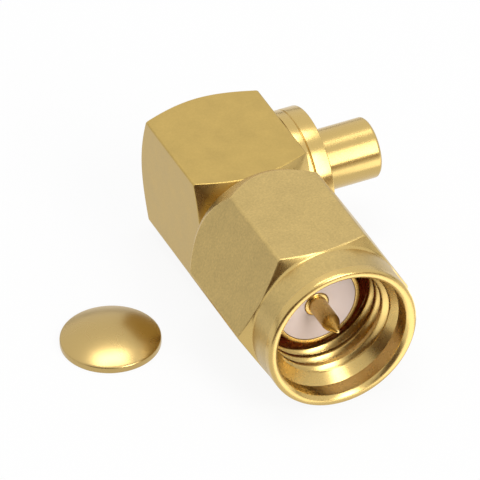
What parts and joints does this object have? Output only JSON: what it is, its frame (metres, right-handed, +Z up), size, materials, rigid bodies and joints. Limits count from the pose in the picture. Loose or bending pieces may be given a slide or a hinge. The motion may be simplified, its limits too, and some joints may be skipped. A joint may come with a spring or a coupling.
{
  "type": "right-angle sma connector",
  "caption": "Right-angle SMA plug for 2.2 mm semi-rigid cable: square elbow body, captive hexagonal coupling nut, flanged cable ferrule and domed access cap lying loose beside it.",
  "frame": {"origin": "centre of the electrical reference plane, on the mating axis, at the rim of the contact sleeve and the foot of the contact pin", "axes": "-Y along the mating axis, out of the coupling nut's mouth; +X along the cable's axis, out of the ferrule; +Z up from the flat of the nut that the plug lies on"},
  "size_m": [0.0184, 0.0173, 0.008],
  "materials": {
    "plated_body": "gold plate, satin",
    "plated_turned": "gold plate, bright",
    "ptfe": "waxy, matt",
    "silicone": "matt"
  },
  "bodies": {
    "connector": {"body_block": "plated_body", "front_barrel": "plated_turned", "retaining_ring": "plated_turned", "gasket": "silicone", "insulator": "ptfe", "centre_contact": "plated_turned", "cable_ferrule": "plated_turned", "access_cap": "plated_body"},
    "nut": {"coupling_nut": "plated_body"}
  },
  "joints": [
    {"name": "nut_spin", "type": "hinge", "parent": "connector", "child": "nut", "pos_m": [0, 0, 0], "axis": [0, -1, 0], "continuous": true}
  ]
}
